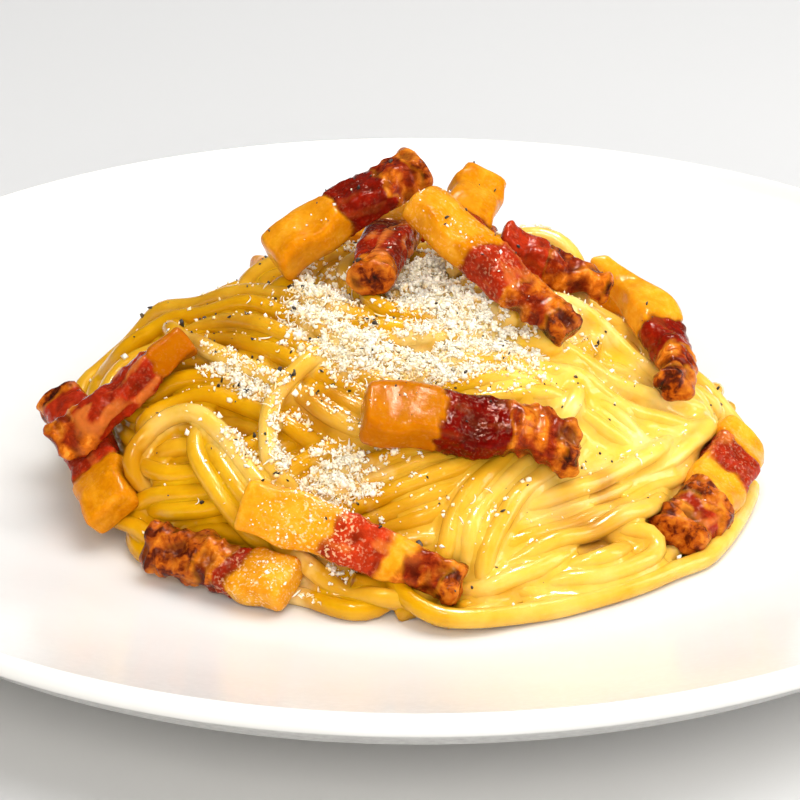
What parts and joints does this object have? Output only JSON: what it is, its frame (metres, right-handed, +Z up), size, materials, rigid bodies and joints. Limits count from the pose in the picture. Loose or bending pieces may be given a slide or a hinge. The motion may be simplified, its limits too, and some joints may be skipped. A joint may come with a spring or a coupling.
{
  "type": "plated pasta dish",
  "caption": "Spaghetti carbonara heaped on a round white plate, with fried guanciale strips, grated cheese and cracked pepper.",
  "frame": {"origin": "middle of the plate's foot, on the surface that it stands on", "axes": "+Z up, +Y away from the diner, +X to the diner's right"},
  "size_m": [0.2198, 0.2198, 0.0552],
  "materials": {
    "porcelain": "plain white glazed porcelain",
    "sauced_pasta": "cooked spaghetti under a glossy egg and cheese sauce",
    "guanciale": "fried cured pork: amber fat, dark red meat, browned ends",
    "grated_cheese": "finely grated hard cheese",
    "black_pepper": "cracked black pepper"
  },
  "bodies": {
    "root": {"plate": "porcelain", "spaghetti": "sauced_pasta", "guanciale_01": "guanciale", "guanciale_02": "guanciale", "guanciale_03": "guanciale", "guanciale_04": "guanciale", "guanciale_05": "guanciale", "guanciale_06": "guanciale", "guanciale_07": "guanciale", "guanciale_08": "guanciale", "guanciale_09": "guanciale", "guanciale_10": "guanciale", "guanciale_11": "guanciale", "guanciale_12": "guanciale", "guanciale_13": "guanciale", "guanciale_14": "guanciale", "guanciale_15": "guanciale"}
  },
  "joints": []
}
